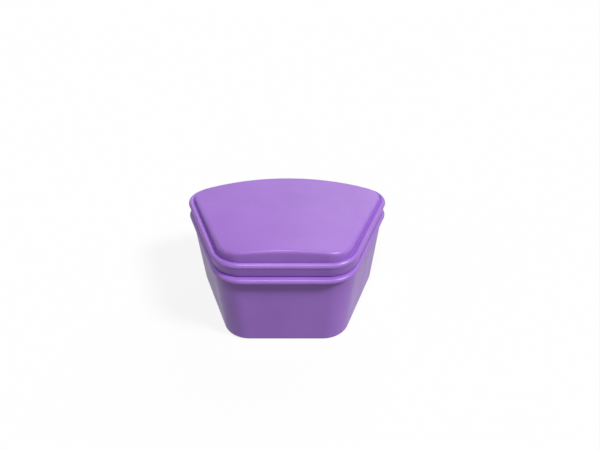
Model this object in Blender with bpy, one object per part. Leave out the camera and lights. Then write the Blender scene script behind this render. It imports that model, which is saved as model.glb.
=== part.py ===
"""Denture case: a fan-shaped tub, a strainer basket that hangs in it, and a domed lid.

Blender 4.5, metres, +Z up. The case stands on Z = 0 with its narrow straight front towards -Y.
Every wall follows one outline, the rim seen from above, set in by so much at the front, at the
sides and at the back.
"""

import math
from collections import namedtuple

import bmesh
import bpy
from mathutils import Vector

mm = 0.001

Inset = namedtuple("Inset", "front side back")
Fillet = namedtuple("Fillet", "front back")
Stations = namedtuple("Stations", "front front_corner side back_corner back")
Material = namedtuple("Material", "name color roughness")
Shelf = namedtuple("Shelf", "outer inner opens")

# Rim outline, before its upright corners are rounded
front_half_width = 26.0 * mm
back_half_width = 47.5 * mm
side_depth = 54.0 * mm
back_bulge = 15.3 * mm
rim_fillet = Fillet(front=13.5 * mm, back=11.0 * mm)

# Small chamfer on the moulded edges that have no radius of their own
edge_break = 0.25 * mm

# Tub walls
wall_height = 32.75 * mm
wall_thickness = 1.7 * mm
wall_top_inset = Inset(front=1.4 * mm, side=0.8 * mm, back=2.2 * mm)
wall_top_fillet = Fillet(front=12.2 * mm, back=10.2 * mm)
base_inset = Inset(front=1.75 * mm, side=2.95 * mm, back=5.3 * mm)
base_fillet = Fillet(front=12.0 * mm, back=10.8 * mm)

# Tub base
floor_thickness = 1.8 * mm
base_edge_radius = 1.2 * mm
floor_edge_radius = 2.5 * mm
foot_width = 5.0 * mm
foot_recess = 0.8 * mm

# Tub flange, which the closed lid sits on: its top is rounded down to a narrow upright band
flange_thickness = 1.75 * mm
flange_outset = Inset(front=1.3 * mm, side=0.2 * mm, back=0.6 * mm)
flange_under_radius = 0.3 * mm
flange_edge_band = 0.15 * mm

# Lid skirt, which draws in downwards, and the tub's lip inside it, each with a low bead that
# snaps past the other
parting_gap = 0.3 * mm
skirt_inset = 0.9 * mm
skirt_thickness = 0.8 * mm
skirt_top_inset = 0.25 * mm
skirt_step_height = 0.3 * mm
lip_clearance = 0.7 * mm
lip_height = 2.2 * mm
lip_thickness = 0.9 * mm
snap_bead = 0.2 * mm
snap_bead_half_height = 0.35 * mm
lip_bead_height = 1.45 * mm
skirt_bead_height = 0.75 * mm

# Lid shoulder, the rounded bead round the raised panel: its profile is a quarter of an oval,
# drawn flatter than an ellipse by a power over 1
shoulder_edge_height = 4.65 * mm
shoulder_rise = 1.5 * mm
shoulder_crest_inset = Inset(front=1.6 * mm, side=0.8 * mm, back=1.1 * mm)
shoulder_flatness = 1.15
panel_foot_inset = Inset(front=2.1 * mm, side=1.5 * mm, back=1.7 * mm)
panel_foot_drop = 0.2 * mm
lid_thickness = 1.4 * mm

# Raised panel of the lid: it rises this much at its sides, and the crown more in its middle
panel_front_rise = 2.8 * mm
panel_front_crown = 2.8 * mm
panel_back_rise = 0.7 * mm
panel_back_crown = 1.0 * mm
panel_wall_lean = Inset(front=0, side=1.2 * mm, back=0.6 * mm)
panel_edge_run = Inset(front=1.3 * mm, side=1.9 * mm, back=1.4 * mm)
panel_wall_share = 0.72

# Strainer basket
basket_seat_gap = 0.3 * mm
basket_clearance = 0.8 * mm
basket_wall = 1.2 * mm
basket_floor = 1.4 * mm
basket_rim_thickness = 1.0 * mm
basket_edge_radius = 2.2 * mm
sump_height = 5.2 * mm
slot_top_band = 3.6 * mm
slot_middle_band = 2.4 * mm
slot_bottom_band = 1.6 * mm
slot_rows = 2
bar_share = 0.42
front_half_slots = 3
side_slots = 8
back_half_slots = 8
lug_reach = 7.0 * mm
lug_thickness = 1.4 * mm
lug_half_cells = 3
lug_end_share = 0.45

# Cells of a rounded corner of the basket: where each starts along the arc, and if slots open in it
corner_cell_shares = ((0.0, False), (0.16, False), (0.32, True), (0.5, True), (0.68, False), (0.84, False))

# Rings of the basket's floor as shares of its outline, and if slots open inwards of each
floor_ring_shares = ((0.90, True), (0.64, False), (0.57, True), (0.34, False))

# How finely the round stretches are divided
front_parts = 4
corner_parts = 8
side_parts = 6
back_parts = 12
edge_parts = 4
small_edge_parts = 2
basket_edge_parts = 3
panel_ring_shares = (0.78, 0.54, 0.28)
smooth_limit = math.radians(32)

purple = Material("purple plastic", (0.32, 0.125, 0.58, 1.0), 0.38)
white = Material("white plastic", (0.80, 0.80, 0.78, 1.0), 0.40)

# Heights worked out from the values above
flange_top = wall_height + flange_thickness
flange_top_radius = flange_thickness - flange_under_radius - flange_edge_band
lip_top = flange_top + lip_height
skirt_bottom = flange_top + parting_gap
shoulder_edge = skirt_bottom + shoulder_edge_height
shoulder_crest = shoulder_edge + shoulder_rise
panel_foot = shoulder_crest - panel_foot_drop
shoulder_underside = panel_foot - lid_thickness
rim_underside = lip_top + basket_seat_gap
rim_top = rim_underside + basket_rim_thickness
basket_bottom = floor_thickness + foot_recess + sump_height

# Insets worked out from the values above
skirt_inner_inset = skirt_inset + skirt_thickness
lip_outer_inset = skirt_inner_inset + lip_clearance
lip_inner_inset = lip_outer_inset + lip_thickness

# The bowed back is an arc through both back ends of the sides and the tip of the bulge
back_radius = (back_half_width ** 2 + back_bulge ** 2) / (2 * back_bulge)
back_centre_y = side_depth + back_bulge - back_radius
outline_middle_y = (side_depth + back_bulge + flange_outset.back - flange_outset.front) / 2


def grow(inset, amount):
    """The inset moved inwards all round by one amount."""
    return Inset(*(value + amount for value in inset))


def shrink(fillet, amount):
    """Corner radii of a parallel outline, moved inwards by the amount."""
    return Fillet(*(value - amount for value in fillet))


def add_insets(first, second, share=1.0):
    return Inset(*(a + share * b for a, b in zip(first, second)))


def mix(first, second, share):
    """A tuple of the same kind, part of the way from the first to the second."""
    return type(first)(*(a + share * (b - a) for a, b in zip(first, second)))


def rim_inset(amount):
    return Inset(amount, amount, amount)


def rim_fillet_at(inset):
    """Corner radii that keep an outline parallel to the rim at the given inset."""
    front = rim_fillet.front - (inset.front + inset.side) / 2
    back = rim_fillet.back - (inset.back + inset.side) / 2
    return Fillet(front, back)


def even_shares(count):
    return [index / count for index in range(count)]


def slot_shares(count):
    """Ends of the bars and slots along a stretch that starts and stops in half a bar."""
    shares = [0.0]
    for index in range(count):
        shares.append((index + bar_share / 2) / count)
        shares.append((index + 1 - bar_share / 2) / count)
    return shares


plain_stations = Stations(
    even_shares(front_parts), even_shares(corner_parts), even_shares(side_parts),
    even_shares(corner_parts), even_shares(back_parts))
basket_corner_stations = [share for share, opens in corner_cell_shares]
basket_stations = Stations(
    slot_shares(front_half_slots), basket_corner_stations, slot_shares(side_slots),
    basket_corner_stations, slot_shares(back_half_slots))


def outline(inset, fillet, stations=plain_stations):
    """Points of the fan outline, from the middle of the front round its right side and back."""
    along = Vector((back_half_width - front_half_width, side_depth)).normalized()
    outward = Vector((along.y, -along.x))
    on_side = Vector((front_half_width, 0)) - outward * inset.side

    # The front corner's centre lies one radius in from the front and from the side
    start = on_side - outward * fillet.front
    reach = (inset.front + fillet.front - start.y) / along.y
    front_centre = start + along * reach

    # The back corner's centre lies one radius in from the side and from the back's arc
    arc_centre = Vector((0, back_centre_y))
    arc_radius = back_radius - inset.back
    start = on_side - outward * fillet.back
    offset = start - arc_centre
    middle = offset.dot(along)
    reach = math.sqrt(middle ** 2 - offset.length_squared + (arc_radius - fillet.back) ** 2) - middle
    back_centre = start + along * reach

    side_angle = math.atan2(outward.y, outward.x)
    arc_angle = math.atan2(back_centre.y - arc_centre.y, back_centre.x)
    side_start = front_centre + outward * fillet.front
    side_end = back_centre + outward * fillet.back
    upright = math.pi / 2

    def on_arc(centre, radius, angle):
        return centre + Vector((math.cos(angle), math.sin(angle))) * radius

    half = [Vector((front_centre.x * share, inset.front)) for share in stations.front]
    for share in stations.front_corner:
        half.append(on_arc(front_centre, fillet.front, share * (side_angle + upright) - upright))
    for share in stations.side:
        half.append(side_start.lerp(side_end, share))
    for share in stations.back_corner:
        half.append(on_arc(back_centre, fillet.back, side_angle + share * (arc_angle - side_angle)))
    for share in stations.back:
        half.append(on_arc(arc_centre, arc_radius, arc_angle + share * (upright - arc_angle)))
    half.append(Vector((0, arc_centre.y + arc_radius)))

    mirrored = [Vector((-point.x, point.y)) for point in half[-2:0:-1]]
    return [Vector((point.x, point.y - outline_middle_y)) for point in half + mirrored]


def level(points, height):
    """The outline's points at one height, or at the height that a function gives for each."""
    if callable(height):
        return [Vector((point.x, point.y, height(point))) for point in points]
    return [Vector((point.x, point.y, height)) for point in points]


def scaled(points, share):
    """The outline drawn in towards the middle of the plan."""
    return [point * share for point in points]


def panel_rise(point):
    """Height of the lid's raised panel over its foot: it falls backwards and is crowned across."""
    depth = point.y + outline_middle_y
    back_share = min(max(depth / (side_depth + back_bulge), 0), 1)
    spread_share = min(max(depth / side_depth, 0), 1)
    half_width = front_half_width + spread_share * (back_half_width - front_half_width)
    middle_share = 1 - (point.x / half_width) ** 2
    front_rise = panel_front_rise + panel_front_crown * middle_share
    back_rise = panel_back_rise + panel_back_crown * middle_share
    return front_rise + back_share * (back_rise - front_rise)


def add_ring(mesh, points):
    return [mesh.verts.new(point) for point in points]


def bridge(mesh, first, second, solid=None):
    """Quads between two rings, only in the cells marked solid where a list is given."""
    count = len(first)
    for index in range(count):
        if solid is None or solid[index]:
            after = (index + 1) % count
            mesh.faces.new((first[index], first[after], second[after], second[index]))


def cap_to_point(mesh, ring, point):
    tip = mesh.verts.new(point)
    for index, vertex in enumerate(ring):
        mesh.faces.new((vertex, ring[(index + 1) % len(ring)], tip))


def make_object(name, mesh, material):
    """An object from the finished bmesh, faces pointing out, round surfaces shaded smooth."""
    bmesh.ops.recalc_face_normals(mesh, faces=mesh.faces)
    data = bpy.data.meshes.new(name)
    mesh.to_mesh(data)
    mesh.free()
    data.shade_smooth()
    data.set_sharp_from_angle(angle=smooth_limit)
    data.materials.append(make_material(material))
    made = bpy.data.objects.new(name, data)
    bpy.context.scene.collection.objects.link(made)
    return made


def make_material(material):
    shader = bpy.data.materials.get(material.name)
    if shader is None:
        shader = bpy.data.materials.new(material.name)
        shader.use_nodes = True
        surface = shader.node_tree.nodes["Principled BSDF"]
        surface.inputs["Base Color"].default_value = material.color
        surface.inputs["Roughness"].default_value = material.roughness
        surface.inputs["Metallic"].default_value = 0
    return shader


def quarter_turn(parts=edge_parts):
    """Angles of a rounded edge, from its first tangent to the one square to it."""
    return [math.pi / 2 * index / parts for index in range(parts + 1)]


def tub_inner(height):
    """Inset and corner radii of the tub's drafted inner wall at a height."""
    low = floor_thickness + foot_recess
    share = (height - low) / (lip_top - low)
    top_inset = rim_inset(lip_inner_inset)
    inset = mix(grow(base_inset, wall_thickness), top_inset, share)
    fillet = mix(shrink(base_fillet, wall_thickness), rim_fillet_at(top_inset), share)
    return inset, fillet


def tub_outside():
    """Rings from the middle of the underside up the wall to the foot of the lip."""
    rings = []
    sole_inset = grow(base_inset, base_edge_radius)
    sole_fillet = shrink(base_fillet, base_edge_radius)
    recess_inset = grow(sole_inset, foot_width)
    recess_fillet = shrink(sole_fillet, foot_width)
    rings.append(level(outline(grow(recess_inset, foot_recess), shrink(recess_fillet, foot_recess)),
                       foot_recess))
    rings.append(level(outline(recess_inset, recess_fillet), 0))
    for angle in quarter_turn():
        inward = base_edge_radius * (1 - math.sin(angle))
        height = base_edge_radius * (1 - math.cos(angle))
        rings.append(level(outline(grow(base_inset, inward), shrink(base_fillet, inward)), height))
    rings.append(level(outline(wall_top_inset, wall_top_fillet), wall_height))

    edge = Inset(*(-value for value in flange_outset))
    for angle in quarter_turn(small_edge_parts):
        inset = grow(edge, flange_under_radius * (1 - math.sin(angle)))
        height = wall_height + flange_under_radius * (1 - math.cos(angle))
        rings.append(level(outline(inset, rim_fillet_at(inset)), height))
    for angle in quarter_turn():
        inset = grow(edge, flange_top_radius * (1 - math.cos(angle)))
        height = flange_top - flange_top_radius * (1 - math.sin(angle))
        rings.append(level(outline(inset, rim_fillet_at(inset)), height))
    return rings


def straight_ring(inset, height, stations=plain_stations):
    """A ring parallel to the rim outline at one height."""
    around = rim_inset(inset)
    return level(outline(around, rim_fillet_at(around), stations), height)


def bead_profile(inset, bead, middle):
    """Three rings of a low bead on an upright face: below it, on its crest and above it."""
    rings = []
    for side, reach in ((-1, 0), (0, bead), (1, 0)):
        rings.append(straight_ring(inset + reach, middle + side * snap_bead_half_height))
    return rings


def tub_inside():
    """Rings from the foot of the lip over its top and down to the middle of the floor."""
    floor_top = floor_thickness + foot_recess
    rings = [straight_ring(lip_outer_inset, flange_top)]
    rings += bead_profile(lip_outer_inset, -snap_bead, flange_top + lip_bead_height)
    rings.append(straight_ring(lip_outer_inset, lip_top - edge_break))
    rings.append(straight_ring(lip_outer_inset + edge_break, lip_top))
    rings.append(straight_ring(lip_inner_inset - edge_break, lip_top))
    rings.append(level(outline(*tub_inner(lip_top - edge_break)), lip_top - edge_break))
    for angle in quarter_turn():
        height = floor_top + floor_edge_radius * (1 - math.sin(angle))
        inset, fillet = tub_inner(height)
        inward = floor_edge_radius * (1 - math.cos(angle))
        rings.append(level(outline(grow(inset, inward), shrink(fillet, inward)), height))
    return rings


def make_tub():
    mesh = bmesh.new()
    rings = [add_ring(mesh, points) for points in tub_outside() + tub_inside()]
    for lower, upper in zip(rings, rings[1:]):
        bridge(mesh, lower, upper)
    mesh.faces.new(rings[0])
    mesh.faces.new(rings[-1])
    return make_object("tub", mesh, purple)


def panel_rings(extra_inset, foot_height):
    """Rings of the raised panel from its foot to near its middle, for its outer or inner face."""
    rings = []
    foot = grow(panel_foot_inset, extra_inset)
    rings.append(level(outline(foot, rim_fillet_at(foot)), foot_height))
    wall_top = add_insets(foot, panel_wall_lean)
    edge = None
    for angle in quarter_turn():
        inset = add_insets(wall_top, panel_edge_run, 1 - math.cos(angle))
        rise_share = panel_wall_share + (1 - panel_wall_share) * math.sin(angle)
        edge = outline(inset, rim_fillet_at(inset))
        rings.append(level(edge, lambda point: foot_height + rise_share * panel_rise(point)))
    for share in panel_ring_shares:
        rings.append(level(scaled(edge, share), lambda point: foot_height + panel_rise(point)))
    return rings


def make_lid():
    outside = panel_rings(0, panel_foot)[::-1]
    for angle in quarter_turn():
        share = 1 - math.sin(angle) ** shoulder_flatness
        inset = add_insets(rim_inset(0), shoulder_crest_inset, share)
        rise = shoulder_rise * max(math.cos(angle), 0) ** shoulder_flatness
        outside.append(level(outline(inset, rim_fillet_at(inset)), shoulder_edge + rise))
    outside.append(straight_ring(skirt_top_inset, shoulder_edge - skirt_step_height))
    outside.append(straight_ring(skirt_inset, skirt_bottom + edge_break))
    outside.append(straight_ring(skirt_inset + edge_break, skirt_bottom))

    inside = [straight_ring(skirt_inner_inset - edge_break, skirt_bottom)]
    inside.append(straight_ring(skirt_inner_inset, skirt_bottom + edge_break))
    inside += bead_profile(skirt_inner_inset, snap_bead, skirt_bottom + skirt_bead_height)
    inside.append(straight_ring(skirt_inner_inset, shoulder_underside))
    inside += panel_rings(lid_thickness, shoulder_underside)

    mesh = bmesh.new()
    rings = [add_ring(mesh, points) for points in outside + inside]
    for first, second in zip(rings, rings[1:]):
        bridge(mesh, first, second)
    middle_rise = panel_rise(Vector((0, 0)))
    cap_to_point(mesh, rings[0], (0, 0, panel_foot + middle_rise))
    cap_to_point(mesh, rings[-1], (0, 0, shoulder_underside + middle_rise))
    return make_object("lid", mesh, purple)


def slot_cells():
    """For each cell round the basket, whether a slot may open there."""
    def stretch(count):
        return [False] + [True, False] * count

    corner = [opens for share, opens in corner_cell_shares]
    half = stretch(front_half_slots) + corner + stretch(side_slots) + corner + stretch(back_half_slots)
    return half + half[::-1]


def basket_shelves():
    """Levels of the basket from its rim down to the middle of its floor."""
    shelves = []

    def wall_shelf(height, opens=False):
        inset, fillet = tub_inner(height)
        outer = outline(grow(inset, basket_clearance), shrink(fillet, basket_clearance), basket_stations)
        within = basket_clearance + basket_wall
        inner = outline(grow(inset, within), shrink(fillet, within), basket_stations)
        return Shelf(level(outer, height), level(inner, height), opens)

    shelves.append(Shelf(straight_ring(lip_outer_inset, rim_underside, basket_stations),
                         straight_ring(lip_outer_inset, rim_top - edge_break, basket_stations), False))
    shelves.append(Shelf(wall_shelf(rim_underside).outer, wall_shelf(rim_top).inner, False))
    shelves.append(wall_shelf(rim_top - lug_thickness))

    slots_top = rim_underside - slot_top_band
    slots_bottom = basket_bottom + basket_edge_radius + slot_bottom_band
    row_height = (slots_top - slots_bottom - slot_middle_band * (slot_rows - 1)) / slot_rows
    for row in range(slot_rows):
        top = slots_top - row * (row_height + slot_middle_band)
        shelves.append(wall_shelf(top, opens=True))
        shelves.append(wall_shelf(top - row_height))

    inset, fillet = tub_inner(basket_bottom)
    inner_radius = basket_edge_radius - basket_wall
    floor_edge = None
    for angle in quarter_turn(basket_edge_parts):
        inward = basket_clearance + basket_edge_radius * (1 - math.cos(angle))
        height = basket_bottom + basket_edge_radius * (1 - math.sin(angle))
        floor_edge = outline(grow(inset, inward), shrink(fillet, inward), basket_stations)
        within = basket_clearance + basket_wall + inner_radius * (1 - math.cos(angle))
        inner_height = basket_bottom + basket_floor + inner_radius * (1 - math.sin(angle))
        inner_edge = outline(grow(inset, within), shrink(fillet, within), basket_stations)
        shelves.append(Shelf(level(floor_edge, height), level(inner_edge, inner_height), False))

    for share, opens in floor_ring_shares:
        flat = scaled(floor_edge, share)
        shelves.append(Shelf(level(flat, basket_bottom), level(flat, basket_bottom + basket_floor), opens))
    return shelves


def make_basket():
    """A shell whose marked cells stay open, so that every slot has its own four side walls."""
    mesh = bmesh.new()
    slotted = slot_cells()
    count = len(slotted)
    shelves = basket_shelves()
    outer = [add_ring(mesh, shelf.outer) for shelf in shelves]
    inner = [add_ring(mesh, shelf.inner) for shelf in shelves]
    lug_row = 1
    lug_first, lug_cells = lug_range()

    def is_open(row, cell):
        return shelves[row].opens and slotted[cell % count]

    def is_lug(row, cell):
        mirrored = count - 1 - cell
        return row == lug_row and (cell in lug_cells or mirrored in lug_cells)

    chamfer = add_ring(mesh, straight_ring(lip_outer_inset + edge_break, rim_top, basket_stations))
    for first, second in ((outer[1], outer[0]), (outer[0], inner[0]), (inner[0], chamfer), (chamfer, inner[1])):
        bridge(mesh, first, second)
    for row in range(1, len(shelves) - 1):
        bridge(mesh, outer[row], outer[row + 1], [not is_open(row, cell) for cell in range(count)])
        bridge(mesh, inner[row], inner[row + 1],
               [not is_open(row, cell) and not is_lug(row, cell) for cell in range(count)])
        for cell in range(count):
            if not is_open(row, cell):
                continue
            for corner, beside in ((cell, cell - 1), ((cell + 1) % count, cell + 1)):
                if not is_open(row, beside):
                    mesh.faces.new((outer[row][corner], outer[row + 1][corner],
                                    inner[row + 1][corner], inner[row][corner]))
            after = (cell + 1) % count
            for end in (row, row + 1):
                mesh.faces.new((outer[end][cell], outer[end][after], inner[end][after], inner[end][cell]))
    mesh.faces.new(outer[-1])
    mesh.faces.new(inner[-1])

    for first in (lug_first, count - lug_first - len(lug_cells)):
        add_lug(mesh, inner[lug_row], inner[lug_row + 1], first, len(lug_cells))
    return make_object("strainer_basket", mesh, white)


def lug_range():
    """First cell and cells of the right lift lug, in the middle of the basket's side."""
    before_side = len(basket_stations.front) + len(basket_stations.front_corner)
    middle = before_side + len(basket_stations.side) // 2
    first = middle - lug_half_cells
    return first, range(first, first + 2 * lug_half_cells + 1)


def add_lug(mesh, upper, lower, first, cells):
    """A finger lug that stands inwards from the wall under the rim, rounded in plan."""
    along = (upper[first + cells].co - upper[first].co).normalized()
    inward = Vector((-along.y, along.x, 0))
    tips = []
    for step in range(cells + 1):
        across = 2 * step / cells - 1
        reach = lug_reach * (lug_end_share + (1 - lug_end_share) * math.sqrt(1 - across ** 2))
        tips.append([mesh.verts.new(ring[first + step].co + inward * reach) for ring in (upper, lower)])
    for step in range(cells):
        above, below = tips[step]
        next_above, next_below = tips[step + 1]
        mesh.faces.new((above, next_above, next_below, below))
        mesh.faces.new((upper[first + step], upper[first + step + 1], next_above, above))
        mesh.faces.new((lower[first + step], lower[first + step + 1], next_below, below))
    for step in (0, cells):
        above, below = tips[step]
        mesh.faces.new((upper[first + step], lower[first + step], below, above))


def main():
    for leftover in list(bpy.data.objects):
        bpy.data.objects.remove(leftover, do_unlink=True)
    make_tub()
    make_basket()
    make_lid()


main()
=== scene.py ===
import math
from collections import namedtuple

import bmesh
import bpy
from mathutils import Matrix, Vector


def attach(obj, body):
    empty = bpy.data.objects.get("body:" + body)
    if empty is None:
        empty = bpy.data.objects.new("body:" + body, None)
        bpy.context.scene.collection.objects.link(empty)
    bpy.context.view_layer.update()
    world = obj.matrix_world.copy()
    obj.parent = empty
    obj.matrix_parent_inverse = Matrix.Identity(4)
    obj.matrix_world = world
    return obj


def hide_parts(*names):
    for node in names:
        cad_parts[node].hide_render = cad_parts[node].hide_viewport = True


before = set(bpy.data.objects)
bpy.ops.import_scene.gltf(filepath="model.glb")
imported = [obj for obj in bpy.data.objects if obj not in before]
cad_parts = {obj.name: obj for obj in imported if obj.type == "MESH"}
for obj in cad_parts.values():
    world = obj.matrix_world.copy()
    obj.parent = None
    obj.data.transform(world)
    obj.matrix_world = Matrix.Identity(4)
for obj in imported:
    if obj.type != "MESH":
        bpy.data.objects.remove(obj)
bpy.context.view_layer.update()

mm = 0.001

Inset = namedtuple("Inset", "front side back")
Fillet = namedtuple("Fillet", "front back")
Stations = namedtuple("Stations", "front front_corner side back_corner back")
Shelf = namedtuple("Shelf", "outer inner opens")
Lamp = namedtuple("Lamp", "name towards spread light")
Plastic = namedtuple("Plastic", "name deep pale worn smooth rough")

# Camera, from the outlines of the like cases in the photograph: it looks down by these degrees
image_width = 600
focal_pixels = 503.0
sensor_width = 36.0
camera_place = Vector((5.9, -183.65, 157.25)) * mm
looks_down = 33.3
camera_tilt = math.radians(90 - looks_down)
nearest_seen = 10 * mm

# Studio lamps: where each stands, how many degrees wide it looks, and how much light it gives
# what faces it
lamps = (
    Lamp("key", (0.8, -0.38, 1.0), 14, 0.8),
    Lamp("front", (-0.05, -0.4, 1.0), 12, 0.35),
    Lamp("front_low", (0.0, -1.0, 0.3), 30, 0.03),
    Lamp("left", (-1.0, -0.2, 0.6), 45, 0.02),
    Lamp("left_low", (-1.0, -0.45, 0.06), 30, 0.035),
    Lamp("back", (0.5, 1.25, 1.0), 42, 0.12),
)
sun_energy = math.pi

# Room and floor: what falls on the object, what it mirrors, and white for the camera
room_light = 0.12
room_mirrored = 0.75
floor_size = 6.0
floor_drop = 0.05 * mm
floor_bounce = 0.3
floor_white = 0.85
floor_lift = 0.85
floor_mirrored = 0.7

# Plastics: two tints that the cloudiness mixes, the paler tint of sharp outer edges (partly rubbing,
# partly a painted highlight), and the roughness where the surface is smoothest and where it is haziest
purple_look = Plastic("purple_plastic", deep=(0.305, 0.136, 0.55, 1), pale=(0.345, 0.156, 0.6, 1),
                      worn=(0.45, 0.28, 0.69, 1), smooth=0.28, rough=0.38)
white_look = Plastic("white_plastic", deep=(0.76, 0.76, 0.73, 1), pale=(0.82, 0.82, 0.8, 1),
                     worn=(0.86, 0.86, 0.85, 1), smooth=0.36, rough=0.46)

# Moulded surface: how coarse its cloudiness, haze and fine grain are, as repeats per metre
cloud_scale = 45.0
cloud_detail = 3
haze_scale = 140.0
haze_detail = 4
grain_scale = 2600.0
grain_detail = 2
grain_strength = 0.12
grain_depth = 0.05 * mm

# Most of a noise texture lies between these two values
noise_low = 0.3
noise_high = 0.7

# Light use: faint streaks from wiping, and edges rubbed a little duller and paler, the paler tint partly
# a painted highlight
streak_scale = 90.0
streak_detail = 4
streak_from = 0.5
streak_to = 0.7
streak_stretch = (1.0, 14.0, 3.0)
streak_turn = math.radians(35)
streak_haze = 0.03
edge_from = 0.53
edge_to = 0.62
edge_wear_and_highlight = 0.3
edge_haze = 0.06

# Rim outline, before its upright corners are rounded
front_half_width = 26.0 * mm
back_half_width = 47.5 * mm
side_depth = 54.0 * mm
back_bulge = 15.3 * mm
rim_fillet = Fillet(front=13.5 * mm, back=11.0 * mm)

# Small chamfer on the moulded edges that have no radius of their own
edge_break = 0.25 * mm

# Tub walls
wall_height = 32.75 * mm
wall_thickness = 1.7 * mm
wall_top_inset = Inset(front=1.4 * mm, side=0.8 * mm, back=2.2 * mm)
wall_top_fillet = Fillet(front=12.2 * mm, back=10.2 * mm)
base_inset = Inset(front=1.75 * mm, side=2.95 * mm, back=5.3 * mm)
base_fillet = Fillet(front=12.0 * mm, back=10.8 * mm)

# Tub base
floor_thickness = 1.8 * mm
base_edge_radius = 1.2 * mm
floor_edge_radius = 2.5 * mm
foot_width = 5.0 * mm
foot_recess = 0.8 * mm

# Tub flange, which the closed lid sits on: its top is rounded down to a narrow upright band
flange_thickness = 1.75 * mm
flange_outset = Inset(front=1.3 * mm, side=0.2 * mm, back=0.6 * mm)
flange_under_radius = 0.3 * mm
flange_edge_band = 0.15 * mm

# Lid skirt, which draws in downwards, and the tub's lip inside it, each with a low bead that
# snaps past the other
parting_gap = 0.3 * mm
skirt_inset = 0.9 * mm
skirt_thickness = 0.8 * mm
skirt_top_inset = 0.25 * mm
skirt_step_height = 0.3 * mm
lip_clearance = 0.7 * mm
lip_height = 2.2 * mm
lip_thickness = 0.9 * mm
snap_bead = 0.2 * mm
snap_bead_half_height = 0.35 * mm
lip_bead_height = 1.45 * mm
skirt_bead_height = 0.75 * mm

# Lid shoulder, the rounded bead round the raised panel: its profile is a quarter of an oval,
# drawn flatter than an ellipse by a power over 1
shoulder_edge_height = 4.65 * mm
shoulder_rise = 1.5 * mm
shoulder_crest_inset = Inset(front=1.6 * mm, side=0.8 * mm, back=1.1 * mm)
shoulder_flatness = 1.15
lid_thickness = 1.4 * mm

# Groove from the bead down to the foot of the panel: on the outer face it dips below the foot
# that the inner face follows, and it rolls off the bead by a power over 1
panel_foot_inset = Inset(front=2.1 * mm, side=2.7 * mm, back=1.7 * mm)
panel_foot_drop = 0.2 * mm
valley_depth = 0.5 * mm
valley_shares = (0.2, 0.4, 0.6, 0.8, 0.92)
valley_roll = 2.0

# Raised panel of the lid: it rises this much at its sides, and the crown more in its middle
panel_front_rise = 2.8 * mm
panel_front_crown = 2.8 * mm
panel_back_rise = 0.7 * mm
panel_back_crown = 1.0 * mm

# Wall of the panel: how far it leans in, how far its rounded edge then runs in, and at what share
# of its rise the round starts. At its sides it stands steeper and further in than the CAD solid
panel_wall_lean = Inset(front=0, side=0.25 * mm, back=0.3 * mm)
panel_edge_run = Inset(front=1.3 * mm, side=1.65 * mm, back=1.7 * mm)
panel_wall_share = Inset(front=0.72, side=0.5, back=0.5)

# Strainer basket
basket_seat_gap = 0.3 * mm
basket_clearance = 0.8 * mm
basket_wall = 1.2 * mm
basket_floor = 1.4 * mm
basket_rim_thickness = 1.0 * mm
basket_edge_radius = 2.2 * mm
sump_height = 5.2 * mm
slot_top_band = 3.6 * mm
slot_middle_band = 2.4 * mm
slot_bottom_band = 1.6 * mm
slot_rows = 2
bar_share = 0.42
front_half_slots = 3
side_slots = 8
back_half_slots = 8
lug_reach = 7.0 * mm
lug_thickness = 1.4 * mm
lug_half_cells = 3
lug_end_share = 0.45

# Cells of a rounded corner of the basket: where each starts along the arc, and if slots open in it
corner_cell_shares = (
    (0.0, False), (0.16, False), (0.32, True), (0.5, True), (0.68, False), (0.84, False))

# Rings of the basket's floor as shares of its outline, and if slots open inwards of each
floor_ring_shares = ((0.90, True), (0.64, False), (0.57, True), (0.34, False))

# How finely the round stretches are divided, well over what the CAD solids have
front_parts = 4
corner_parts = 24
side_parts = 6
back_parts = 64
edge_parts = 8
small_edge_parts = 3
basket_edge_parts = 5
cell_parts = Stations(front=1, front_corner=4, side=2, back_corner=4, back=2)
panel_wall_shares = (0, 0.2, 0.4, 0.56, 0.68, 0.78, 0.86, 0.92, 0.96, 0.985, 0.997, 1)
panel_ring_shares = (0.92, 0.83, 0.73, 0.62, 0.5, 0.38, 0.25, 0.12)

# Small rounds on edges that turn by more than the limit. A profile of a half is a round arc
smooth_limit = math.radians(32)
edge_round = 0.1 * mm
slot_round = 0.25 * mm
round_parts = 2
round_profile = 0.5

# The body that carries each node
node_body = {"tub": "tub", "strainer_basket": "basket", "lid": "lid"}

# Places are rounded to this step when the points of a piece are put in order
point_step = 0.001 * mm

# Heights worked out from the values above
flange_top = wall_height + flange_thickness
flange_top_radius = flange_thickness - flange_under_radius - flange_edge_band
lip_top = flange_top + lip_height
skirt_bottom = flange_top + parting_gap
shoulder_edge = skirt_bottom + shoulder_edge_height
shoulder_crest = shoulder_edge + shoulder_rise
panel_foot = shoulder_crest - panel_foot_drop
shoulder_underside = panel_foot - lid_thickness
rim_underside = lip_top + basket_seat_gap
rim_top = rim_underside + basket_rim_thickness
basket_bottom = floor_thickness + foot_recess + sump_height
slots_low = basket_bottom + basket_edge_radius
slots_high = rim_underside - slot_top_band / 2

# Insets worked out from the values above
skirt_inner_inset = skirt_inset + skirt_thickness
lip_outer_inset = skirt_inner_inset + lip_clearance
lip_inner_inset = lip_outer_inset + lip_thickness

# The bowed back is an arc through both back ends of the sides and the tip of the bulge
back_radius = (back_half_width ** 2 + back_bulge ** 2) / (2 * back_bulge)
back_centre_y = side_depth + back_bulge - back_radius
outline_middle_y = (side_depth + back_bulge + flange_outset.back - flange_outset.front) / 2


def grow(inset, amount):
    """The inset moved inwards all round by one amount."""
    return Inset(*(value + amount for value in inset))


def shrink(fillet, amount):
    """Corner radii of a parallel outline, moved inwards by the amount."""
    return Fillet(*(value - amount for value in fillet))


def add_insets(first, second, share=1.0):
    return Inset(*(a + share * b for a, b in zip(first, second)))


def mix(first, second, share):
    """A tuple of the same kind, part of the way from the first to the second."""
    return type(first)(*(a + share * (b - a) for a, b in zip(first, second)))


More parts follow.
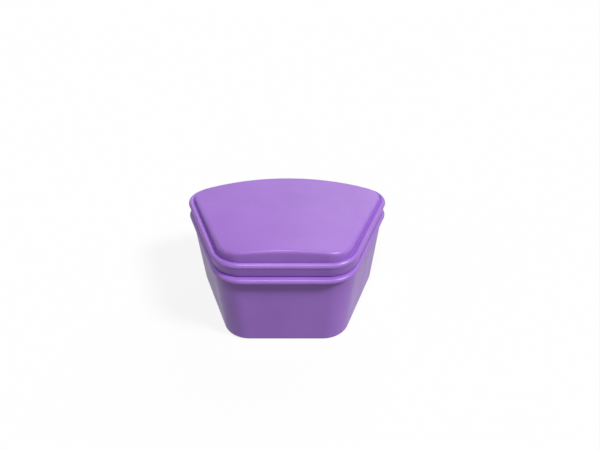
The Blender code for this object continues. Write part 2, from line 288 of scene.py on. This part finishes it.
def rim_inset(amount):
    return Inset(amount, amount, amount)


def rim_fillet_at(inset):
    """Corner radii that keep an outline parallel to the rim at the given inset."""
    front = rim_fillet.front - (inset.front + inset.side) / 2
    back = rim_fillet.back - (inset.back + inset.side) / 2
    return Fillet(front, back)


def even_shares(count):
    return [index / count for index in range(count)]


def slot_shares(count):
    """Ends of the bars and slots along a stretch that starts and stops in half a bar."""
    shares = [0.0]
    for index in range(count):
        shares.append((index + bar_share / 2) / count)
        shares.append((index + 1 - bar_share / 2) / count)
    return shares


def divide(shares, parts):
    """Every cell that starts at one of the shares cut into so many even parts."""
    ends = list(shares[1:]) + [1.0]
    return [start + (end - start) * part / parts
            for start, end in zip(shares, ends) for part in range(parts)]


plain_stations = Stations(
    even_shares(front_parts), even_shares(corner_parts), even_shares(side_parts),
    even_shares(corner_parts), even_shares(back_parts))
basket_corner_shares = [share for share, opens in corner_cell_shares]
basket_stations = Stations(
    divide(slot_shares(front_half_slots), cell_parts.front),
    divide(basket_corner_shares, cell_parts.front_corner),
    divide(slot_shares(side_slots), cell_parts.side),
    divide(basket_corner_shares, cell_parts.back_corner),
    divide(slot_shares(back_half_slots), cell_parts.back))


def outline(inset, fillet, stations=plain_stations):
    """Points of the fan outline, from the middle of the front round its right side and back."""
    along = Vector((back_half_width - front_half_width, side_depth)).normalized()
    outward = Vector((along.y, -along.x))
    on_side = Vector((front_half_width, 0)) - outward * inset.side

    # The front corner's centre lies one radius in from the front and from the side
    start = on_side - outward * fillet.front
    reach = (inset.front + fillet.front - start.y) / along.y
    front_centre = start + along * reach

    # The back corner's centre lies one radius in from the side and from the back's arc
    arc_centre = Vector((0, back_centre_y))
    arc_radius = back_radius - inset.back
    start = on_side - outward * fillet.back
    offset = start - arc_centre
    middle = offset.dot(along)
    reach = math.sqrt(middle ** 2 - offset.length_squared + (arc_radius - fillet.back) ** 2) - middle
    back_centre = start + along * reach

    side_angle = math.atan2(outward.y, outward.x)
    arc_angle = math.atan2(back_centre.y - arc_centre.y, back_centre.x)
    side_start = front_centre + outward * fillet.front
    side_end = back_centre + outward * fillet.back
    upright = math.pi / 2

    def on_arc(centre, radius, angle):
        return centre + Vector((math.cos(angle), math.sin(angle))) * radius

    half = [Vector((front_centre.x * share, inset.front)) for share in stations.front]
    for share in stations.front_corner:
        half.append(on_arc(front_centre, fillet.front, share * (side_angle + upright) - upright))
    for share in stations.side:
        half.append(side_start.lerp(side_end, share))
    for share in stations.back_corner:
        half.append(on_arc(back_centre, fillet.back, side_angle + share * (arc_angle - side_angle)))
    for share in stations.back:
        half.append(on_arc(arc_centre, arc_radius, arc_angle + share * (upright - arc_angle)))
    half.append(Vector((0, arc_centre.y + arc_radius)))

    mirrored = [Vector((-point.x, point.y)) for point in half[-2:0:-1]]
    return [Vector((point.x, point.y - outline_middle_y)) for point in half + mirrored]


def level(points, height):
    """The outline's points at one height, or at the height that a function gives for each."""
    if callable(height):
        return [Vector((point.x, point.y, height(point))) for point in points]
    return [Vector((point.x, point.y, height)) for point in points]


def scaled(points, share):
    """The outline drawn in towards the middle of the plan."""
    return [point * share for point in points]


def panel_rise(point):
    """Height of the lid's raised panel over its foot: it falls backwards and is crowned across."""
    depth = point.y + outline_middle_y
    back_share = min(max(depth / (side_depth + back_bulge), 0), 1)
    spread_share = min(max(depth / side_depth, 0), 1)
    half_width = front_half_width + spread_share * (back_half_width - front_half_width)
    middle_share = 1 - (point.x / half_width) ** 2
    front_rise = panel_front_rise + panel_front_crown * middle_share
    back_rise = panel_back_rise + panel_back_crown * middle_share
    return front_rise + back_share * (back_rise - front_rise)


def add_ring(mesh, points):
    return [mesh.verts.new(point) for point in points]


def bridge(mesh, first, second, solid=None):
    """Quads between two rings, only in the cells marked solid where a list is given."""
    count = len(first)
    for index in range(count):
        if solid is None or solid[index]:
            after = (index + 1) % count
            mesh.faces.new((first[index], first[after], second[after], second[index]))


def cap_to_point(mesh, ring, point):
    tip = mesh.verts.new(point)
    for index, vertex in enumerate(ring):
        mesh.faces.new((vertex, ring[(index + 1) % len(ring)], tip))


def round_edges(mesh, width, lowest=-1.0, highest=1.0):
    """A small round on every sharp edge that lies between two heights."""
    bmesh.ops.recalc_face_normals(mesh, faces=mesh.faces)
    sharp = []
    for edge in mesh.edges:
        heights = [vertex.co.z for vertex in edge.verts]
        if lowest < min(heights) and max(heights) < highest and edge.calc_face_angle() > smooth_limit:
            sharp.append(edge)
    bmesh.ops.bevel(mesh, geom=sharp, offset=width, offset_type="OFFSET", segments=round_parts,
                    profile=round_profile, affect="EDGES", clamp_overlap=False)


def in_order(mesh):
    """Points and faces in an order of their own, because the rounding leaves another each run."""
    def place(vertex):
        return tuple(round(value / point_step) for value in vertex.co)

    points = sorted(mesh.verts, key=place)
    index = {vertex: number for number, vertex in enumerate(points)}
    faces = []
    for face in mesh.faces:
        corners = [index[vertex] for vertex in face.verts]
        first = corners.index(min(corners))
        faces.append(corners[first:] + corners[:first])
    return [vertex.co.copy() for vertex in points], sorted(faces)


def make_piece(node, mesh, material):
    """A finely divided piece in place of a CAD node."""
    data = bpy.data.meshes.new(node + "_fine")
    points, faces = in_order(mesh)
    data.from_pydata(points, [], faces)
    mesh.free()
    data.shade_smooth()
    data.materials.append(material)
    made = bpy.data.objects.new(node + "_fine", data)
    bpy.context.scene.collection.objects.link(made)
    made.modifiers.new("even_shading", "WEIGHTED_NORMAL")
    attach(made, node_body[node])
    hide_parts(node)


def quarter_turn(parts=edge_parts):
    """Angles of a rounded edge, from its first tangent to the one square to it."""
    return [math.pi / 2 * index / parts for index in range(parts + 1)]


def tub_inner(height):
    """Inset and corner radii of the tub's drafted inner wall at a height."""
    low = floor_thickness + foot_recess
    share = (height - low) / (lip_top - low)
    top_inset = rim_inset(lip_inner_inset)
    inset = mix(grow(base_inset, wall_thickness), top_inset, share)
    fillet = mix(shrink(base_fillet, wall_thickness), rim_fillet_at(top_inset), share)
    return inset, fillet


def tub_outside():
    """Rings from the middle of the underside up the wall to the foot of the lip."""
    rings = []
    sole_inset = grow(base_inset, base_edge_radius)
    sole_fillet = shrink(base_fillet, base_edge_radius)
    recess_inset = grow(sole_inset, foot_width)
    recess_fillet = shrink(sole_fillet, foot_width)
    rings.append(level(outline(grow(recess_inset, foot_recess), shrink(recess_fillet, foot_recess)),
                       foot_recess))
    rings.append(level(outline(recess_inset, recess_fillet), 0))
    for angle in quarter_turn():
        inward = base_edge_radius * (1 - math.sin(angle))
        height = base_edge_radius * (1 - math.cos(angle))
        rings.append(level(outline(grow(base_inset, inward), shrink(base_fillet, inward)), height))
    rings.append(level(outline(wall_top_inset, wall_top_fillet), wall_height))

    edge = Inset(*(-value for value in flange_outset))
    for angle in quarter_turn(small_edge_parts):
        inset = grow(edge, flange_under_radius * (1 - math.sin(angle)))
        height = wall_height + flange_under_radius * (1 - math.cos(angle))
        rings.append(level(outline(inset, rim_fillet_at(inset)), height))
    for angle in quarter_turn():
        inset = grow(edge, flange_top_radius * (1 - math.cos(angle)))
        height = flange_top - flange_top_radius * (1 - math.sin(angle))
        rings.append(level(outline(inset, rim_fillet_at(inset)), height))
    return rings


def straight_ring(inset, height, stations=plain_stations):
    """A ring parallel to the rim outline at one height."""
    around = rim_inset(inset)
    return level(outline(around, rim_fillet_at(around), stations), height)


def bead_profile(inset, bead, middle):
    """Three rings of a low bead on an upright face: below it, on its crest and above it."""
    rings = []
    for side, reach in ((-1, 0), (0, bead), (1, 0)):
        rings.append(straight_ring(inset + reach, middle + side * snap_bead_half_height))
    return rings


def tub_inside():
    """Rings from the foot of the lip over its top and down to the middle of the floor."""
    floor_top = floor_thickness + foot_recess
    rings = [straight_ring(lip_outer_inset, flange_top)]
    rings += bead_profile(lip_outer_inset, -snap_bead, flange_top + lip_bead_height)
    rings.append(straight_ring(lip_outer_inset, lip_top - edge_break))
    rings.append(straight_ring(lip_outer_inset + edge_break, lip_top))
    rings.append(straight_ring(lip_inner_inset - edge_break, lip_top))
    rings.append(level(outline(*tub_inner(lip_top - edge_break)), lip_top - edge_break))
    for angle in quarter_turn():
        height = floor_top + floor_edge_radius * (1 - math.sin(angle))
        inset, fillet = tub_inner(height)
        inward = floor_edge_radius * (1 - math.cos(angle))
        rings.append(level(outline(grow(inset, inward), shrink(fillet, inward)), height))
    return rings


def make_tub(material):
    mesh = bmesh.new()
    rings = [add_ring(mesh, points) for points in tub_outside() + tub_inside()]
    for lower, upper in zip(rings, rings[1:]):
        bridge(mesh, lower, upper)
    mesh.faces.new(rings[0])
    mesh.faces.new(rings[-1])
    round_edges(mesh, edge_round)
    make_piece("tub", mesh, material)


def panel_inset(rise_share):
    """How far the raised panel's wall has drawn in at a share of its rise: a lean, then a round."""
    drawn = []
    for wall_share, lean, run in zip(panel_wall_share, panel_wall_lean, panel_edge_run):
        over = max(rise_share - wall_share, 0) / (1 - wall_share)
        drawn.append(lean * min(rise_share / wall_share, 1) + run * (1 - math.sqrt(1 - over ** 2)))
    return Inset(*drawn)


def panel_rings(extra_inset, foot_height, valley=0):
    """Rings of the raised panel from its foot to near its middle, for its outer or inner face."""
    rings = []
    foot = grow(panel_foot_inset, extra_inset)
    for rise_share in panel_wall_shares:
        inset = add_insets(foot, panel_inset(rise_share))
        edge = outline(inset, rim_fillet_at(inset))
        foot_dip = valley * (1 - rise_share) ** 2
        rings.append(level(edge, lambda point: foot_height - foot_dip + rise_share * panel_rise(point)))
    for share in panel_ring_shares:
        rings.append(level(scaled(edge, share), lambda point: foot_height + panel_rise(point)))
    return rings


def make_lid(material):
    outside = panel_rings(0, panel_foot, valley_depth)[::-1]
    for share in valley_shares[::-1]:
        inset = mix(shoulder_crest_inset, panel_foot_inset, share)
        drop = (panel_foot_drop + valley_depth) * share ** valley_roll
        outside.append(level(outline(inset, rim_fillet_at(inset)), shoulder_crest - drop))
    for angle in quarter_turn():
        share = 1 - math.sin(angle) ** shoulder_flatness
        inset = add_insets(rim_inset(0), shoulder_crest_inset, share)
        rise = shoulder_rise * max(math.cos(angle), 0) ** shoulder_flatness
        outside.append(level(outline(inset, rim_fillet_at(inset)), shoulder_edge + rise))
    outside.append(straight_ring(skirt_top_inset, shoulder_edge - skirt_step_height))
    outside.append(straight_ring(skirt_inset, skirt_bottom + edge_break))
    outside.append(straight_ring(skirt_inset + edge_break, skirt_bottom))

    inside = [straight_ring(skirt_inner_inset - edge_break, skirt_bottom)]
    inside.append(straight_ring(skirt_inner_inset, skirt_bottom + edge_break))
    inside += bead_profile(skirt_inner_inset, snap_bead, skirt_bottom + skirt_bead_height)
    inside.append(straight_ring(skirt_inner_inset, shoulder_underside))
    inside += panel_rings(lid_thickness, shoulder_underside)

    mesh = bmesh.new()
    rings = [add_ring(mesh, points) for points in outside + inside]
    for first, second in zip(rings, rings[1:]):
        bridge(mesh, first, second)
    middle_rise = panel_rise(Vector((0, 0)))
    cap_to_point(mesh, rings[0], (0, 0, panel_foot + middle_rise))
    cap_to_point(mesh, rings[-1], (0, 0, shoulder_underside + middle_rise))
    round_edges(mesh, edge_round)
    make_piece("lid", mesh, material)


def slot_cells():
    """For each cell round the basket, whether a slot may open there."""
    def stretch(count):
        return [False] + [True, False] * count

    def cut(cells, parts):
        return [opens for opens in cells for part in range(parts)]

    corner = [opens for share, opens in corner_cell_shares]
    half = cut(stretch(front_half_slots), cell_parts.front) + cut(corner, cell_parts.front_corner)
    half += cut(stretch(side_slots), cell_parts.side) + cut(corner, cell_parts.back_corner)
    half += cut(stretch(back_half_slots), cell_parts.back)
    return half + half[::-1]


def basket_shelves():
    """Levels of the basket from its rim down to the middle of its floor."""
    shelves = []

    def wall_shelf(height, opens=False):
        inset, fillet = tub_inner(height)
        outer = outline(grow(inset, basket_clearance), shrink(fillet, basket_clearance), basket_stations)
        within = basket_clearance + basket_wall
        inner = outline(grow(inset, within), shrink(fillet, within), basket_stations)
        return Shelf(level(outer, height), level(inner, height), opens)

    shelves.append(Shelf(straight_ring(lip_outer_inset, rim_underside, basket_stations),
                         straight_ring(lip_outer_inset, rim_top - edge_break, basket_stations), False))
    shelves.append(Shelf(wall_shelf(rim_underside).outer, wall_shelf(rim_top).inner, False))
    shelves.append(wall_shelf(rim_top - lug_thickness))

    slots_top = rim_underside - slot_top_band
    slots_bottom = basket_bottom + basket_edge_radius + slot_bottom_band
    row_height = (slots_top - slots_bottom - slot_middle_band * (slot_rows - 1)) / slot_rows
    for row in range(slot_rows):
        top = slots_top - row * (row_height + slot_middle_band)
        shelves.append(wall_shelf(top, opens=True))
        shelves.append(wall_shelf(top - row_height))

    inset, fillet = tub_inner(basket_bottom)
    inner_radius = basket_edge_radius - basket_wall
    for angle in quarter_turn(basket_edge_parts):
        inward = basket_clearance + basket_edge_radius * (1 - math.cos(angle))
        height = basket_bottom + basket_edge_radius * (1 - math.sin(angle))
        floor_edge = outline(grow(inset, inward), shrink(fillet, inward), basket_stations)
        within = basket_clearance + basket_wall + inner_radius * (1 - math.cos(angle))
        inner_height = basket_bottom + basket_floor + inner_radius * (1 - math.sin(angle))
        inner_edge = outline(grow(inset, within), shrink(fillet, within), basket_stations)
        shelves.append(Shelf(level(floor_edge, height), level(inner_edge, inner_height), False))

    for share, opens in floor_ring_shares:
        flat = scaled(floor_edge, share)
        top = level(flat, basket_bottom + basket_floor)
        shelves.append(Shelf(level(flat, basket_bottom), top, opens))
    return shelves


def make_basket(material):
    """A shell whose marked cells stay open, so that every slot has its own four side walls."""
    mesh = bmesh.new()
    slotted = slot_cells()
    count = len(slotted)
    shelves = basket_shelves()
    outer = [add_ring(mesh, shelf.outer) for shelf in shelves]
    inner = [add_ring(mesh, shelf.inner) for shelf in shelves]
    lug_row = 1
    lug_first, lug_cells = lug_range()

    def is_open(row, cell):
        return shelves[row].opens and slotted[cell % count]

    def is_lug(row, cell):
        mirrored = count - 1 - cell
        return row == lug_row and (cell in lug_cells or mirrored in lug_cells)

    chamfer = add_ring(mesh, straight_ring(lip_outer_inset + edge_break, rim_top, basket_stations))
    rim = (outer[1], outer[0], inner[0], chamfer, inner[1])
    for first, second in zip(rim, rim[1:]):
        bridge(mesh, first, second)
    for row in range(1, len(shelves) - 1):
        bridge(mesh, outer[row], outer[row + 1], [not is_open(row, cell) for cell in range(count)])
        bridge(mesh, inner[row], inner[row + 1],
               [not is_open(row, cell) and not is_lug(row, cell) for cell in range(count)])
        for cell in range(count):
            if not is_open(row, cell):
                continue
            for corner, beside in ((cell, cell - 1), ((cell + 1) % count, cell + 1)):
                if not is_open(row, beside):
                    mesh.faces.new((outer[row][corner], outer[row + 1][corner],
                                    inner[row + 1][corner], inner[row][corner]))
            after = (cell + 1) % count
            for end in (row, row + 1):
                mesh.faces.new((outer[end][cell], outer[end][after],
                                inner[end][after], inner[end][cell]))
    mesh.faces.new(outer[-1])
    mesh.faces.new(inner[-1])

    for first in (lug_first, count - lug_first - len(lug_cells)):
        add_lug(mesh, inner[lug_row], inner[lug_row + 1], first, len(lug_cells))
    round_edges(mesh, slot_round, slots_low, slots_high)
    round_edges(mesh, edge_round, highest=slots_low)
    round_edges(mesh, edge_round, lowest=slots_high)
    make_piece("strainer_basket", mesh, material)


def lug_range():
    """First cell and cells of the right lift lug, in the middle of the basket's side."""
    before_side = len(basket_stations.front) + len(basket_stations.front_corner)
    first = before_side + (side_slots - lug_half_cells) * cell_parts.side
    return first, range(first, first + (2 * lug_half_cells + 1) * cell_parts.side)


def add_lug(mesh, upper, lower, first, cells):
    """A finger lug that stands inwards from the wall under the rim, rounded in plan."""
    along = (upper[first + cells].co - upper[first].co).normalized()
    inward = Vector((-along.y, along.x, 0))
    tips = []
    for step in range(cells + 1):
        across = 2 * step / cells - 1
        reach = lug_reach * (lug_end_share + (1 - lug_end_share) * math.sqrt(1 - across ** 2))
        tips.append([mesh.verts.new(ring[first + step].co + inward * reach) for ring in (upper, lower)])
    for step in range(cells):
        above, below = tips[step]
        next_above, next_below = tips[step + 1]
        mesh.faces.new((above, next_above, next_below, below))
        mesh.faces.new((upper[first + step], upper[first + step + 1], next_above, above))
        mesh.faces.new((lower[first + step], lower[first + step + 1], next_below, below))
    for step in (0, cells):
        above, below = tips[step]
        mesh.faces.new((upper[first + step], lower[first + step], below, above))


def make_camera():
    lens = bpy.data.cameras.new("camera")
    lens.sensor_fit = "HORIZONTAL"
    lens.sensor_width = sensor_width
    lens.lens = focal_pixels / image_width * sensor_width
    lens.clip_start = nearest_seen
    camera = bpy.data.objects.new("camera", lens)
    camera.location = camera_place
    camera.rotation_euler = (camera_tilt, 0, 0)
    bpy.context.scene.collection.objects.link(camera)
    bpy.context.scene.camera = camera


def make_lamp(lamp):
    sun = bpy.data.lights.new(lamp.name, "SUN")
    sun.energy = lamp.light * sun_energy
    sun.angle = math.radians(lamp.spread)
    light = bpy.data.objects.new(lamp.name, sun)
    light.location = lamp.towards
    light.rotation_euler = Vector(lamp.towards).to_track_quat("Z", "Y").to_euler()
    bpy.context.scene.collection.objects.link(light)


def by_ray(tree, plain, mirrored, seen):
    """A value for light that falls on things, another for what they mirror, a third for the camera."""
    path = tree.nodes.new("ShaderNodeLightPath")
    value = plain
    for ray, other in (("Is Glossy Ray", mirrored), ("Is Camera Ray", seen)):
        pick = tree.nodes.new("ShaderNodeMix")
        pick.data_type = "FLOAT"
        if value is plain:
            pick.inputs["A"].default_value = plain
        else:
            tree.links.new(value, pick.inputs["A"])
        pick.inputs["B"].default_value = other
        tree.links.new(path.outputs[ray], pick.inputs["Factor"])
        value = pick.outputs["Result"]
    return value


def make_room():
    """An even room, dim on the object and full white for the camera."""
    world = bpy.data.worlds.new("room")
    world.use_nodes = True
    tree = world.node_tree
    background = tree.nodes["Background"]
    background.inputs["Color"].default_value = (1, 1, 1, 1)
    tree.links.new(by_ray(tree, room_light, room_mirrored, 1.0), background.inputs["Strength"])
    bpy.context.scene.world = world


def make_floor():
    """A white floor: the camera sees it lifted towards white with the shadow still on it."""
    bpy.ops.mesh.primitive_plane_add(size=floor_size, location=(0, 0, -floor_drop))
    floor = bpy.context.object
    floor.name = "floor"
    material = bpy.data.materials.new("floor")
    material.use_nodes = True
    tree = material.node_tree
    tree.nodes.remove(tree.nodes["Principled BSDF"])
    matte = tree.nodes.new("ShaderNodeBsdfDiffuse")
    tree.links.new(by_ray(tree, floor_bounce, floor_white, floor_white), matte.inputs["Color"])
    glow = tree.nodes.new("ShaderNodeEmission")
    tree.links.new(by_ray(tree, 0.0, floor_mirrored, 1.0), glow.inputs["Strength"])
    lift = tree.nodes.new("ShaderNodeMixShader")
    tree.links.new(by_ray(tree, 0.0, 1.0, floor_lift), lift.inputs["Fac"])
    tree.links.new(matte.outputs["BSDF"], lift.inputs[1])
    tree.links.new(glow.outputs["Emission"], lift.inputs[2])
    tree.links.new(lift.outputs["Shader"], tree.nodes["Material Output"].inputs["Surface"])
    floor.data.materials.append(material)


def add_noise(tree, where, scale, detail):
    noise = tree.nodes.new("ShaderNodeTexNoise")
    noise.inputs["Scale"].default_value = scale
    noise.inputs["Detail"].default_value = detail
    tree.links.new(where, noise.inputs["Vector"])
    return noise.outputs["Fac"]


def spread(tree, value, low, high, start=noise_low, end=noise_high):
    """The range of the value from start to end stretched over low to high."""
    stretch = tree.nodes.new("ShaderNodeMapRange")
    stretch.inputs["From Min"].default_value = start
    stretch.inputs["From Max"].default_value = end
    stretch.inputs["To Min"].default_value = low
    stretch.inputs["To Max"].default_value = high
    tree.links.new(value, stretch.inputs["Value"])
    return stretch.outputs["Result"]


def mix_colour(tree, share, first, second):
    mixed = tree.nodes.new("ShaderNodeMix")
    mixed.data_type = "RGBA"
    tree.links.new(share, mixed.inputs["Factor"])
    if isinstance(first, tuple):
        mixed.inputs["A"].default_value = first
    else:
        tree.links.new(first, mixed.inputs["A"])
    mixed.inputs["B"].default_value = second
    return mixed.outputs["Result"]


def add_up(tree, first, second):
    both = tree.nodes.new("ShaderNodeMath")
    tree.links.new(first, both.inputs[0])
    tree.links.new(second, both.inputs[1])
    return both.outputs["Value"]


def plastic(look):
    """Satin moulded plastic: cloudy colour, uneven gloss, fine grain, wiped and rubbed a little, with
    sharp outer edges painted paler, partly as rubbing and partly as a painted highlight.
    """
    material = bpy.data.materials.new(look.name)
    material.use_nodes = True
    tree = material.node_tree
    surface = tree.nodes["Principled BSDF"]
    where = tree.nodes.new("ShaderNodeTexCoord").outputs["Object"]
    edges = tree.nodes.new("ShaderNodeNewGeometry").outputs["Pointiness"]

    clouds = add_noise(tree, where, cloud_scale, cloud_detail)
    tint = mix_colour(tree, spread(tree, clouds, 0, 1), look.deep, look.pale)
    # Sharp outer edges turn paler: partly light rubbing, partly a painted highlight
    rubbed_and_highlit_mask = spread(tree, edges, 0, edge_wear_and_highlight, edge_from, edge_to)
    tree.links.new(mix_colour(tree, rubbed_and_highlit_mask, tint, look.worn), surface.inputs["Base Color"])

    turned = tree.nodes.new("ShaderNodeMapping")
    turned.inputs["Rotation"].default_value = (0, 0, streak_turn)
    turned.inputs["Scale"].default_value = streak_stretch
    tree.links.new(where, turned.inputs["Vector"])
    streaks = add_noise(tree, turned.outputs["Vector"], streak_scale, streak_detail)
    haze = add_noise(tree, where, haze_scale, haze_detail)
    dull = spread(tree, haze, look.smooth, look.rough)
    dull = add_up(tree, dull, spread(tree, streaks, 0, streak_haze, streak_from, streak_to))
    dull = add_up(tree, dull, spread(tree, edges, 0, edge_haze, edge_from, edge_to))
    tree.links.new(dull, surface.inputs["Roughness"])

    grain = add_noise(tree, where, grain_scale, grain_detail)
    bump = tree.nodes.new("ShaderNodeBump")
    bump.inputs["Strength"].default_value = grain_strength
    bump.inputs["Distance"].default_value = grain_depth
    tree.links.new(grain, bump.inputs["Height"])
    tree.links.new(bump.outputs["Normal"], surface.inputs["Normal"])
    return material


make_camera()
for lamp in lamps:
    make_lamp(lamp)
make_room()
make_floor()
purple = plastic(purple_look)
white = plastic(white_look)
make_tub(purple)
make_basket(white)
make_lid(purple)

bpy.context.scene.view_settings.view_transform = "Standard"


def plain(box):
    return [[float(value) for value in corner] for corner in box]
